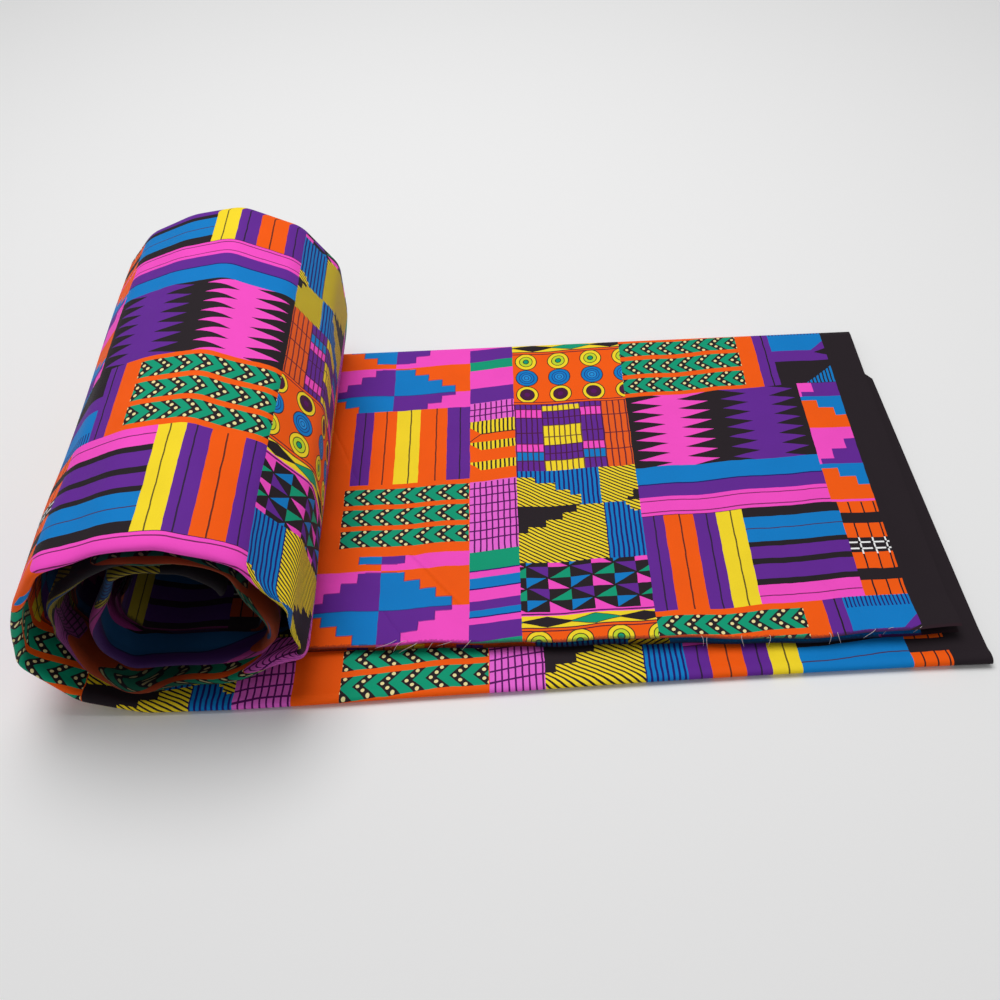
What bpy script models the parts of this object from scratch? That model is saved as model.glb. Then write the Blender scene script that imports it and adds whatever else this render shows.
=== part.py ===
# Ankara fabric: one cut length of printed cotton, folded lengthwise into a strip of four layers.
# The strip lies flat at its right end, and its left end is rolled up on top of the strip.
# Units are metres. X runs along the strip, Y from the near edge to the far edge, Z is up.

from math import cos, pi, radians, sin

import bpy
import numpy as np

MM = 0.001

# The cloth as cut: the rolled direction is its width, between the two black selvedges
CLOTH_WIDTH = 1.15
SHEET_THICKNESS = 1.4 * MM
LAYER_PITCH = 2.2 * MM

# The strip as folded, measured from the right end of its two upper layers
STRIP_DEPTH = 218 * MM
FLAT_REACH = 300 * MM
RAW_EDGE_WAVE = 1.2 * MM
ROLL_EDGE_INSET = 3 * MM

# The two lower layers lie a little askew, so that their ends show beyond the upper ones
LOWER_END_NEAR = 11.5 * MM
LOWER_END_KNEE = 5.5 * MM
LOWER_KNEE_Y = 0.815 * STRIP_DEPTH
LOWER_HIDDEN_Y = 0.85 * STRIP_DEPTH

# Soft swell of the flat strip, and its near right corner, which stands up a little
SWELL_HEIGHT = 1.6 * MM
CORNER_LIFT = 1.4 * MM
CORNER_LIFT_REACH = 60 * MM

# The roll: turns counted from straight below its centre, leftwards and up
ROLL_CENTRE_X = -366 * MM
ROLL_CENTRE_Z = 57 * MM
TURN_ANGLE_SHIFT = 7
INNER_FOLD_RECESS = 0.2
CORE_SLACK = 15 * MM
CORNER_CUT = 5.5 * MM
MOST_CUT_SHARE = 0.3

# Stations along the flat strip: distance from its right end, and how far the near fold stands out
FLAT_STATIONS = (
    # distance, near fold
    (0, 16.5),
    (24, 16.5),
    (60, 17),
    (110, 18),
    (160, 19.5),
    (210, 21.5),
    (260, 23),
    (305, 25),
    (345, 26),
)

# Corners of one turn of the roll, in degrees and millimetres. The cloth is flattened between them.
TURN_CORNERS = (
    # angle, reach from the centre, step inwards for each further turn, near fold
    (-15, 59, 10, 20),
    (20, 60.6, 10, 26),
    (47, 68.6, 16, 24),
    (76, 71, 20, 21),
    (112, 60.5, 15.5, 17),
    (138, 57.5, 12.5, 14),
    (167, 54.5, 10.5, 12),
    (196, 58.8, 10.5, 12),
    (228, 62.8, 12.5, 12),
    (257, 66.5, 15, 11),
    (286, 68, 14.5, 8),
    (307, 75, 22, 6),
)

# The folded section, from the raw edge of the top layer to the raw edge of the layer below it.
# y = depth share * STRIP_DEPTH - fold share * near fold + raw edge + offset, in millimetres.
SECTION = (
    # depth share, fold share, raw share, offset, layer height in pitches, upper layer
    (0, 0, 1, 0, 3, 1),
    (0.3, 0, 0, 0, 3, 1),
    (0.65, 0, 0, 0, 3, 1),
    (1, 0, 0, -5, 3, 1),
    (1, 0, 0, -1.4, 2.5, 1),
    (1, 0, 0, 0, 1.5, 0),
    (1, 0, 0, -1.4, 0.5, 0),
    (1, 0, 0, -5, 0, 0),
    (0.85, 0, 0, 0, 0, 0),
    (0.815, 0, 0, 0, 0, 0),
    (0.4, 0, 0, 0, 0, 0),
    (0, 1, 0, 9, 0, 0),
    (0, 1, 0, 3.6, 0.05, 0),
    (0, 1, 0, 0.9, 0.4, 0),
    (0, 1, 0, 0, 1, 0),
    (0, 1, 0, 0.9, 1.6, 0),
    (0, 1, 0, 3.8, 1.8, 0),
    (0, 1, 0, 8.5, 1.3, 0),
    (0, 0, 0, 4, 1, 0),
    (0.4, 0, 0, 0, 1, 0),
    (0.815, 0, 0, 0, 1, 0),
    (0.85, 0, 0, 0, 1, 0),
    (1, 0, 0, -9, 1, 0),
    (1, 0, 0, -6.3, 1.1, 0),
    (1, 0, 0, -5.5, 1.5, 0),
    (1, 0, 0, -6.3, 1.9, 1),
    (1, 0, 0, -9, 2, 1),
    (0.65, 0, 0, 0, 2, 1),
    (0.3, 0, 0, 0, 2, 1),
    (0, 0, 1, -2.5, 2, 1),
)


def clear_scene():
    for thing in list(bpy.data.objects):
        bpy.data.objects.remove(thing, do_unlink=True)


def roll_corners():
    # (x, z, near fold, turns so far) of each corner, well past the length that the cloth fills
    corners = []
    for turn in range(4):
        for angle, reach, step, near in TURN_CORNERS:
            if turn == 0 and angle < 0:
                continue
            bearing = radians(angle + TURN_ANGLE_SHIFT * turn * (angle > 0))
            out = (reach - step * turn) * MM
            corners.append(
                (
                    ROLL_CENTRE_X - out * sin(bearing),
                    max(ROLL_CENTRE_Z - out * cos(bearing), 0),
                    near * MM * (1 - INNER_FOLD_RECESS * turn),
                    turn + angle / 360,
                )
            )
    return corners


def cut_corners(corners):
    # Each corner becomes two stations, so that the cloth bends round it in two steps
    points = [np.array(corners[0])]
    for before, corner, after in zip(corners, corners[1:], corners[2:]):
        before, corner, after = np.array(before), np.array(corner), np.array(after)
        for other in (before, after):
            run = np.linalg.norm((other - corner)[:2])
            cut = min(CORNER_CUT, MOST_CUT_SHARE * run)
            points.append(corner + (other - corner) * cut / run)
    return points


def strip_path():
    # Rows of (x, z, near fold, turns) along the underside of the strip
    flat = [(-x * MM, 0.0, near * MM, 0.0) for x, near in FLAT_STATIONS]
    bend = cut_corners([flat[-1], *roll_corners()])[1:]
    return np.array([np.array(row) for row in flat] + bend)


def inward_normals(path):
    # The mitred normal at each station: up from the flat strip, and towards the roll's centre
    steps = np.diff(path[:, :2], axis=0)
    steps /= np.linalg.norm(steps, axis=1)[:, None]
    sides = np.stack([steps[:, 1], -steps[:, 0]], axis=1)
    sides = np.concatenate([sides[:1], sides, sides[-1:]])
    mean = sides[:-1] + sides[1:]
    return 2 * mean / (mean**2).sum(axis=1)[:, None]


def widths_along(path, normals):
    # How much of the cloth's width lies before each station, measured at the strip's mid height
    middle = path[:, :2] + normals * 1.5 * LAYER_PITCH
    return np.concatenate([[0], np.cumsum(np.linalg.norm(np.diff(middle, axis=0), axis=1))])


def cut_to_width(path, normals, widths):
    # The last station moves back to where the cloth's width ends
    last = int(np.searchsorted(widths, CLOTH_WIDTH))
    share = (CLOTH_WIDTH - widths[last - 1]) / (widths[last] - widths[last - 1])
    path[last] = path[last - 1] + (path[last] - path[last - 1]) * share
    normals[last] = normals[last - 1] + (normals[last] - normals[last - 1]) * share
    widths[last] = CLOTH_WIDTH
    return path[: last + 1], normals[: last + 1], widths[: last + 1]


def raw_edge(width, in_roll):
    wave = sin(2 * pi * width / 0.17) + 0.6 * sin(2 * pi * width / 0.071 + 1)
    return RAW_EDGE_WAVE * wave + ROLL_EDGE_INSET * in_roll


def lower_end(y):
    # How far the lower layers reach past the upper ones at the right end
    if y > LOWER_HIDDEN_Y:
        return 0.0
    if y > LOWER_KNEE_Y:
        return LOWER_END_KNEE * (LOWER_HIDDEN_Y - y) / (LOWER_HIDDEN_Y - LOWER_KNEE_Y)
    return LOWER_END_KNEE + (LOWER_END_NEAR - LOWER_END_KNEE) * (1 - y / LOWER_KNEE_Y)


def swell(width, y):
    rise = 0.5 - 0.5 * cos(2 * pi * (width / 0.21 + 0.35 * y / STRIP_DEPTH))
    rise *= sin(pi * min(max(y / STRIP_DEPTH, 0), 1)) * sin(pi * min(width / FLAT_REACH, 1))
    corner = max(0, 1 - width / CORNER_LIFT_REACH) * max(0, 1 - abs(y) / CORNER_LIFT_REACH)
    return SWELL_HEIGHT * rise + CORNER_LIFT * corner


def sheet_point(station, normal, width, row):
    depth_share, fold_share, raw_share, offset, layer, upper = row
    x, z, near, turns = station
    in_roll = float(width > FLAT_REACH)
    y = depth_share * STRIP_DEPTH - fold_share * near + raw_share * raw_edge(width, in_roll)
    y += offset * MM
    height = SHEET_THICKNESS / 2 + layer * LAYER_PITCH
    height += upper * CORE_SLACK * max(0, turns - 2) * (1 - y / STRIP_DEPTH)
    height += swell(width, y) * layer / 3
    askew = (1 - upper) * lower_end(y) * max(0, 1 - width / FLAT_REACH)
    return (x + normal[0] * height + askew, y, z + normal[1] * height)


def sheet_mesh(name):
    path = strip_path()
    normals = inward_normals(path)
    path, normals, widths = cut_to_width(path, normals, widths_along(path, normals))
    points = [
        sheet_point(station, normal, width, row)
        for station, normal, width in zip(path, normals, widths)
        for row in SECTION
    ]
    across = len(SECTION)
    faces = [
        (i * across + j, i * across + j + 1, (i + 1) * across + j + 1, (i + 1) * across + j)
        for i in range(len(path) - 1)
        for j in range(across - 1)
    ]
    mesh = bpy.data.meshes.new(name)
    mesh.from_pydata(points, [], faces)
    return mesh


def centre_on_ground(mesh):
    # The origin goes under the middle of the bounding box
    points = np.empty(len(mesh.vertices) * 3, np.float32)
    mesh.vertices.foreach_get("co", points)
    points = points.reshape(-1, 3)
    points[:, :2] -= (points[:, :2].min(axis=0) + points[:, :2].max(axis=0)) / 2
    mesh.vertices.foreach_set("co", points.ravel())
    mesh.update()


def cotton_material():
    material = bpy.data.materials.new("printed_cotton")
    material.use_nodes = True
    shader = material.node_tree.nodes["Principled BSDF"]
    shader.inputs["Base Color"].default_value = (0.35, 0.06, 0.4, 1)
    shader.inputs["Roughness"].default_value = 0.75
    shader.inputs["Metallic"].default_value = 0
    return material


def make_cloth(collection):
    mesh = sheet_mesh("cloth")
    centre_on_ground(mesh)
    cloth = bpy.data.objects.new("cloth", mesh)
    cloth.data.materials.append(cotton_material())
    collection.objects.link(cloth)
    shell = cloth.modifiers.new("thickness", "SOLIDIFY")
    shell.thickness = SHEET_THICKNESS
    shell.offset = 0
    shell.use_even_offset = True
    return cloth


def main():
    clear_scene()
    collection = bpy.data.collections.new("ankara_fabric")
    bpy.context.scene.collection.children.link(collection)
    make_cloth(collection)


main()
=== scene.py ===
from math import cos, pi, radians, sin

import bpy
import numpy as np
from mathutils import Matrix, Vector


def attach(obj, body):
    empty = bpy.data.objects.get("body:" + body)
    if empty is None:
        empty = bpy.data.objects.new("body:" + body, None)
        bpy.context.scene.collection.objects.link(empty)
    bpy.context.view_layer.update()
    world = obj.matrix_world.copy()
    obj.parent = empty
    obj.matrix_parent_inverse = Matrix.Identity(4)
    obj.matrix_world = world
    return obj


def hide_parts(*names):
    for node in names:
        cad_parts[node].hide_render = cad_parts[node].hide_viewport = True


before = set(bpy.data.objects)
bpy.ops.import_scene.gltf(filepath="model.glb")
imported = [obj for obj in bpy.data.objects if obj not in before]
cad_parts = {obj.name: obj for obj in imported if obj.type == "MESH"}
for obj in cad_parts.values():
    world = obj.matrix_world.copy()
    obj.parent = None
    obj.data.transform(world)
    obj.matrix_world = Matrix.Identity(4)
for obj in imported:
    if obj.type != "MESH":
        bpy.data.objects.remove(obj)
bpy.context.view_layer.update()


# Camera at the photograph's angle: pitch below the horizon, turn about up, and roll about the view
cameraView = {
    "place": (0.0064, -0.3492, 0.4190),
    "pitch": 50.0,
    "turn": -2.136,
    "roll": -3.987,
    "lens": 35.88,
}


def addObject(name, data):
    thing = bpy.data.objects.new(name, data)
    bpy.context.scene.collection.objects.link(thing)
    return thing


def newMaterial(name):
    material = bpy.data.materials.new(name)
    material.use_nodes = True
    return material, material.node_tree.nodes["Principled BSDF"]


def addCamera():
    data = bpy.data.cameras.new("camera")
    data.lens = cameraView["lens"]
    data.sensor_width = 36
    data.dof.use_dof = False
    data.clip_start = 0.01
    camera = addObject("camera", data)
    pitch, turn, roll = (radians(cameraView[key]) for key in ("pitch", "turn", "roll"))
    base = np.array([[1, 0, 0], [0, -sin(pitch), -cos(pitch)], [0, cos(pitch), -sin(pitch)]])
    about = np.array([[cos(turn), -sin(turn), 0], [sin(turn), cos(turn), 0], [0, 0, 1]])
    tilt = np.array([[cos(roll), -sin(roll), 0], [sin(roll), cos(roll), 0], [0, 0, 1]])
    right, down, forward = tilt @ base @ about
    axes = np.stack([right, -down, -forward], axis=1)
    camera.matrix_world = Matrix.Translation(cameraView["place"]) @ Matrix(axes.tolist()).to_4x4()
    bpy.context.scene.camera = camera


# Floor and soft studio light
studio = {
    "floorColour": (0.93, 0.93, 0.93, 1),
    "floorSize": 14.0,
    "worldStrength": 0.28,
    "areas": [
        # name, place, aims at, size, watts
        ("keyLight", (-0.12, 0.32, 1.25), (0.0, 0.0, 0.03), 0.9, 11.2),
        ("fillLight", (0.9, -0.7, 0.8), (0.0, 0.0, 0.03), 0.8, 0.7),
    ],
}


def addStudio():
    mesh = bpy.data.meshes.new("floor")
    half = studio["floorSize"] / 2
    mesh.from_pydata(
        [(-half, -half, 0), (half, -half, 0), (half, half, 0), (-half, half, 0)], [], [(0, 1, 2, 3)]
    )
    floor = addObject("floor", mesh)
    paint, shader = newMaterial("floor_paint")
    shader.inputs["Base Color"].default_value = studio["floorColour"]
    shader.inputs["Roughness"].default_value = 0.9
    shader.inputs["Specular IOR Level"].default_value = 0.1
    mesh.materials.append(paint)
    for name, place, target, size, watts in studio["areas"]:
        data = bpy.data.lights.new(name, "AREA")
        data.shape = "DISK"
        data.size = size
        data.energy = watts
        aim = Vector(target) - Vector(place)
        turned = aim.to_track_quat("-Z", "Y").to_matrix().to_4x4()
        addObject(name, data).matrix_world = Matrix.Translation(place) @ turned
    world = bpy.data.worlds.new("studio")
    world.use_nodes = True
    world.node_tree.nodes["Background"].inputs["Color"].default_value = (1, 1, 1, 1)
    world.node_tree.nodes["Background"].inputs["Strength"].default_value = studio["worldStrength"]
    bpy.context.scene.world = world
    bpy.context.scene.view_settings.view_transform = "Standard"


# The cloth as folded and rolled, in millimetres, with x = 0 at the upper layers' right end
cloth = {
    "flatSize": (1.15, 0.914),
    "clothWidth": 1150.0,
    "clothLength": 914.0,
    "stripDepth": 218.0,
    "flatReach": 300.0,
    "sheetLift": 0.5,
    "layerPitch": 2.2,
    "rawEdgeWave": 0.35,
    "rawEdgeLine": [
        (0, -1), (30, -1.6), (75, -3), (110, -1.6), (142, -0.4), (190, 0.2), (235, 1.4), (290, 2.4),
        (340, 4), (600, 3), (760, 2), (900, 5), (1000, 2.5), (1150, 5),
    ],
    "lowerEndNear": 11.5,
    "lowerEndKnee": 5.5,
    "lowerKneeY": 177.7,
    "lowerHiddenY": 185.3,
    "swellHeight": 1.6,
    "edgeLift": 3.6,
    "edgeLiftReach": 24.0,
    "cornerLift": 1.4,
    "cornerLiftReach": 60.0,
    "centre": (-366.0, 57.0),
    "turnAngleShift": 7.0,
    "innerFoldRecess": 0.2,
    "coreSlack": 15.0,
    "cornerCut": 5.5,
    "mostCutShare": 0.45,
    "cornerSteps": 9,
    "usualNearFold": 20,
    "straightOver": 12,
    "farReach": 3.5,
    "nearUneven": 0.22,
    "crumple": 1.3,
    "innerCrumple": 0.8,
    "outerWaver": 0.9,
    "stationSpacing": [
        (0, 1.7), (300, 1.7), (330, 3.4), (440, 3.4), (470, 2.2), (650, 2.2), (690, 3.2), (2000, 3.2),
    ],
    "flatStations": [
        # distance from the right end, near fold
        (0, 16.5), (24, 16.5), (60, 17), (110, 18), (160, 19.5), (210, 21.5), (260, 23), (305, 25),
        (345, 26),
    ],
    "turnCorners": [
        # angle, reach from the centre, step inwards for each further turn, near fold
        (-15, 59, 10, 20), (20, 60.6, 10, 26), (47, 68.6, 16, 24), (76, 71, 20, 21),
        (112, 60.5, 15.5, 17), (138, 57.5, 12.5, 14), (167, 54.5, 10.5, 12), (196, 58.8, 10.5, 12),
        (228, 62.8, 12.5, 14), (257, 65.5, 14.5, 18), (286, 64.5, 11.5, 16), (307, 71, 18.5, 10),
    ],
    "section": [
        # depth share, fold share, raw share, offset, layer height in pitches, upper, spacing to the next row
        (0, 0, 1, 0, 3, 1, 2.5),
        (0, 0, 1, 24, 3, 1, 3.6),
        (0.3, 0, 0, 0, 3, 1, 3.8),
        (0.65, 0, 0, 0, 3, 1, 4.2),
        (1, 0, 0, -5, 3, 1, 1),
        (1, 0, 0, -1.4, 2.5, 1, 1),
        (1, 0, 0, 0, 1.5, 0, 1),
        (1, 0, 0, -1.4, 0.5, 0, 1),
        (1, 0, 0, -5, 0, 0, 3.8),
        (0.85, 0, 0, 0, 0, 0, 4),
        (0.815, 0, 0, 0, 0, 0, 4.4),
        (0.4, 0, 0, 0, 0, 0, 4.2),
        (0, 1, 0, 9, 0, 0, 1.3),
        (0, 1, 0, 3.6, 0.05, 0, 1),
        (0, 1, 0, 0.9, 0.4, 0, 0.8),
        (0, 1, 0, 0, 1, 0, 0.8),
        (0, 1, 0, 0.9, 1.6, 0, 0.9),
        (0, 1, 0, 3.8, 1.8, 0, 1.2),
        (0, 1, 0, 8.5, 1.3, 0, 2),
        (0, 0, 0, 4, 1, 0, 8),
        (0.4, 0, 0, 0, 1, 0, 15),
        (0.815, 0, 0, 0, 1, 0, 8),
        (0.85, 0, 0, 0, 1, 0, 8),
        (1, 0, 0, -9, 1, 0, 1.2),
        (1, 0, 0, -6.3, 1.1, 0, 1),
        (1, 0, 0, -5.5, 1.5, 0, 1),
        (1, 0, 0, -6.3, 1.9, 1, 1.2),
        (1, 0, 0, -9, 2, 1, 12),
        (0.65, 0, 0, 0, 2, 1, 15),
        (0.3, 0, 0, 0, 2, 1, 9),
        (0, 0, 1, 22, 2, 1, 2.5),
        (0, 0, 1, 0, 1.9, 1, 0),
    ],
    "nearFoldRow": 19,
    "place": (0.2102, -0.0959, 0),
}


def stripCorners():
    # Rows of (x, z, near fold, turns) at the corners of the path under the strip
    rows = [(-x, 0.0, near, 0.0) for x, near in cloth["flatStations"]]
    centreX, centreZ = cloth["centre"]
    for turn in range(4):
        for angle, reach, step, near in cloth["turnCorners"]:
            if turn == 0 and angle < 0:
                continue
            bearing = radians(angle + cloth["turnAngleShift"] * turn * (angle > 0))
            out = reach - step * turn
            recess = 1 - cloth["innerFoldRecess"] * turn
            x, z = centreX - out * sin(bearing), max(centreZ - out * cos(bearing), 0)
            rows.append((x, z, near * recess, turn + angle / 360))
    return np.array(rows)


def roundedPath():
    # Soft corners, and stations at an even spacing
    rows = stripCorners()
    points = [rows[0]]
    for before, corner, after in zip(rows, rows[1:], rows[2:]):
        ends = []
        for other in (before, after):
            run = np.linalg.norm((other - corner)[:2])
            ends.append(corner + (other - corner) * min(cloth["cornerCut"] / run, cloth["mostCutShare"]))
        for s in np.linspace(0, 1, cloth["cornerSteps"]):
            points.append((1 - s) ** 2 * ends[0] + 2 * s * (1 - s) * corner + s * s * ends[1])
    points = np.array(points)
    run = np.concatenate([[0], np.cumsum(np.linalg.norm(np.diff(points[:, :2], axis=0), axis=1))])
    even = [0.0]
    while even[-1] < run[-1]:
        even.append(even[-1] + float(np.interp(even[-1], *np.array(cloth["stationSpacing"]).T)))
    even = np.array(even[:-1])
    return np.stack([np.interp(even, run, column) for column in points.T], axis=1)


def pathNormals(path):
    steps = np.gradient(path[:, :2], axis=0)
    steps /= np.linalg.norm(steps, axis=1)[:, None]
    return np.stack([steps[:, 1], -steps[:, 0]], axis=1)


def runAlong(path, normals, height):
    line = path[:, :2] + normals * height
    return np.concatenate([[0], np.cumsum(np.linalg.norm(np.diff(line, axis=0), axis=1))])


def fineSection():
    # A smooth curve through the section's rows, as rows of the same kind
    rows = np.array(cloth["section"], float)
    inDepth = rows[:, 0] * cloth["stripDepth"] - rows[:, 1] * cloth["usualNearFold"] + rows[:, 3]
    place = np.stack([inDepth, rows[:, 4] * cloth["layerPitch"]], axis=1)
    gaps = np.linalg.norm(np.diff(place, axis=0), axis=1)
    knots = np.concatenate([[0], np.cumsum(np.sqrt(gaps))])
    values = rows[:, :6]
    slopes = np.zeros_like(values)
    for i in range(1, len(rows) - 1):
        before, after = knots[i] - knots[i - 1], knots[i + 1] - knots[i]
        first = (values[i] - values[i - 1]) / before
        second = (values[i + 1] - values[i]) / after
        slopes[i] = (first * after + second * before) / (before + after)
    slopes[0] = (values[1] - values[0]) / (knots[1] - knots[0])
    slopes[-1] = (values[-1] - values[-2]) / (knots[-1] - knots[-2])
    fine, rowOf = [], []
    for i in range(len(rows) - 1):
        count = max(1, round(gaps[i] / rows[i, 6]))
        width = knots[i + 1] - knots[i]
        for s in np.arange(count) / count:
            if gaps[i] > cloth["straightOver"]:
                point = values[i] + (values[i + 1] - values[i]) * s
            else:
                point = (
                    (2 * s**3 - 3 * s**2 + 1) * values[i]
                    + (s**3 - 2 * s**2 + s) * width * slopes[i]
                    + (3 * s**2 - 2 * s**3) * values[i + 1]
                    + (s**3 - s**2) * width * slopes[i + 1]
                )
            fine.append(point)
            rowOf.append(i + s)
    fine.append(values[-1])
    rowOf.append(len(rows) - 1)
    return np.array(fine), np.array(rowOf)


def smooth(value):
    value = np.clip(value, 0, 1)
    return value * value * (3 - 2 * value)


def fadeIn(value, start, reach):
    return smooth((value - start) / reach)


def rawEdge(width):
    line = np.interp(width, *np.array(cloth["rawEdgeLine"], float).T)
    return line + cloth["rawEdgeWave"] * np.sin(2 * pi * width / 41 + 1)


def lowerEnd(y):
    # How far the two lower layers reach past the upper ones at the right end
    knee, hidden = cloth["lowerKneeY"], cloth["lowerHiddenY"]
    near = cloth["lowerEndKnee"] + (cloth["lowerEndNear"] - cloth["lowerEndKnee"]) * (1 - y / knee)
    far = cloth["lowerEndKnee"] * (hidden - y) / (hidden - knee)
    return np.where(y > hidden, 0, np.where(y > knee, far, near))


def swell(width, y):
    depth = cloth["stripDepth"]
    rise = 0.5 - 0.5 * np.cos(2 * pi * (width / 210 + 0.35 * y / depth))
    rise *= np.sin(pi * np.clip(y / depth, 0, 1)) * np.sin(pi * np.clip(width / cloth["flatReach"], 0, 1))
    reach = cloth["cornerLiftReach"]
    corner = np.clip(1 - width / reach, 0, 1) * np.clip(1 - np.abs(y) / reach, 0, 1)
    return cloth["swellHeight"] * rise + cloth["cornerLift"] * corner


def edgeRise(width, y):
    # The near raw edges of the upper layers stand up a little from the lower ones
    along = 0.8 + 0.2 * np.sin(2 * pi * width / 130 + 0.8)
    fade = smooth((cloth["flatReach"] - 12 - width) / 40)
    return cloth["edgeLift"] * along * fade * smooth(1 - y / cloth["edgeLiftReach"])


# Soft creases of the flat upper layers: two ends as (distance from the right end, y), half width, height
flatCreases = [
    ((262, 58), (236, 28), 2.0, -0.8),
    ((300, 175), (262, 160), 9.0, 1.0),
    ((306, 60), (284, 30), 8.0, -0.8),
    ((150, 205), (60, 196), 12.0, 0.5),
    ((20, 150), (8, 40), 7.0, -0.4),
    ((120, 112), (78, 90), 14.0, 0.7),
    ((200, 30), (160, 12), 8.0, 0.5),
]


def creaseHeight(width, y):
    total = np.zeros_like(y)
    for first, second, half, height in flatCreases:
        first, second = np.array(first, float), np.array(second, float)
        run = second - first
        share = ((width - first[0]) * run[0] + (y - first[1]) * run[1]) / (run @ run)
        held = np.clip(share, 0, 1)
        gap = np.hypot(width - first[0] - held * run[0], y - first[1] - held * run[1])
        total += height * np.exp(-((gap / half) ** 2))
    return total


def sheetPoints():
    # The grid of points in metres, and each point's place on the cloth: (across, along) in millimetres
    path = roundedPath()
    normals = pathNormals(path)
    widths = runAlong(path, normals, 1.5 * cloth["layerPitch"])
    keep = widths <= cloth["clothWidth"] + 1
    path, normals, widths = path[keep], normals[keep], widths[keep]
    rows, rowOf = fineSection()
    x, z, near, turns = (path[:, i : i + 1] for i in range(4))
    depthShare, foldShare, rawShare, offset, layer, upper = (rows[None, :, i] for i in range(6))
    width = widths[:, None]
    depth, pitch = cloth["stripDepth"], cloth["layerPitch"]
    inset = rawEdge(width)
    uneven = cloth["nearUneven"] * fadeIn(width, 640, 40)
    near = near * (1 + uneven * np.sin(width / 13) * np.sin(width / 31 + 1))
    y = depthShare * depth - foldShare * near + rawShare * inset + offset
    height = cloth["sheetLift"] + layer * pitch
    height = height + upper * cloth["coreSlack"] * np.clip(turns - 2, 0, None) * (1 - y / depth)
    height += swell(width, y) * layer / 3
    height += edgeRise(width, y) * upper * (0.25 + 0.75 * (layer > 2.5))
    height += creaseHeight(width, y) * np.clip(layer - 1, 0, 2) / 2
    nearEnd = fadeIn(width, 430, 60) * smooth((70 - y) / 60)
    nearEnd *= 1 + cloth["innerCrumple"] * fadeIn(width, 660, 40)
    height += cloth["crumple"] * nearEnd * np.sin(width / 8.3 + y / 29) * np.sin(width / 27 + 2)
    outside = np.clip(1 - layer, 0, 1) * fadeIn(width, 400, 60)
    height += cloth["outerWaver"] * outside * np.sin(y / 34 + width / 23) * np.sin(width / 47 + 1)
    askew = (1 - upper) * lowerEnd(y) * np.clip(1 - width / cloth["flatReach"], 0, None)
    y = y + cloth["farReach"] * fadeIn(width, 400, 60) * fadeIn(y / depth, 0.55, 0.45)
    points = np.stack([x + normals[:, :1] * height + askew, y, z + normals[:, 1:] * height], axis=-1)
    return points, widths, layer, rowOf


def clothPlaces(points, widths, layer, rowOf):
    # Lengths run along the cloth from the top layer's raw edge, and widths along each layer's own path
    steps = np.linalg.norm(np.diff(points, axis=1), axis=2)
    fromStart = np.concatenate([np.zeros((len(points), 1)), np.cumsum(steps, axis=1)], axis=1)
    fromEnd = cloth["clothLength"] - (fromStart[:, -1:] - fromStart)
    turnRow = int(np.argmax(rowOf >= cloth["nearFoldRow"]))
    nextRow = int(np.argmax(rowOf >= cloth["nearFoldRow"] + 2))
    share = np.clip((np.arange(points.shape[1]) - turnRow) / (nextRow - turnRow), 0, 1)
    along = fromStart * (1 - share) + fromEnd * share
    path = roundedPath()[: len(points)]
    normals = pathNormals(path)
    across = np.empty(along.shape)
    levels = layer[0] * cloth["layerPitch"]
    for level in np.unique(levels):
        across[:, levels == level] = runAlong(path, normals, level)[:, None]
    settle = smooth((cloth["clothWidth"] - widths) / 350)[:, None]
    across = widths[:, None] + (across - widths[:, None]) * settle
    lower = (layer < 1.95) * np.clip(1 - points[..., 1] / cloth["lowerHiddenY"], 0, 1)
    inRoll = fadeIn(widths[:, None], 330, 70)
    across = across + atWidth("lowerShift", widths[:, None]) * (lower * (1 - inRoll) + inRoll)
    return across, along


# The print's lie on the cloth, as (distance from the right end, millimetres): how far its rows climb,
# how far the lower layers are shifted, and how its rows are eased round the near fold
printLie = {
    "rise": [
        (0, -7), (42, -6.6), (70, -5.8), (90, -4), (110, -1.8), (142, -0.4), (179, 1.9), (207, 2.9),
        (233, 6.1), (270, 8.7), (305, 9.6), (480, 24), (530, 24.5), (560, 23.5), (640, 23.5), (1150, 28),
    ],
    "lowerShift": [
        (0, 0), (18, 1), (42, 4.7), (90, 4.8), (250, 6.9), (300, 6.9), (400, 0), (480, -6), (510, -7),
        (560, -4.5), (590, -3), (611, -2), (640, -1.2), (700, 0), (1150, 0),
    ],
    "foldRise": [
        (0, 3.5), (42, 3.8), (70, 3.8), (90, 3.6), (110, 3), (142, 2.2), (179, 1.6), (215, 1.5),
        (233, 0.8), (250, -0.2), (270, -0.7), (291, 0.2), (305, 0.6), (420, 0), (1150, 0),
    ],
    "foldSlack": 4.0,
    "foldRows": (11, 2.2),
    "slackRows": (14.5, 5.5),
    "alongStretch": [(0, 0), (215, 0), (255, 0), (387, 7), (460, 7), (914, 0)],
    "mapLength": 1000.0,
    "mapStart": -12.0,
}


def atWidth(table, place):
    return np.interp(place, *np.array(printLie[table], float).T)


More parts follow.
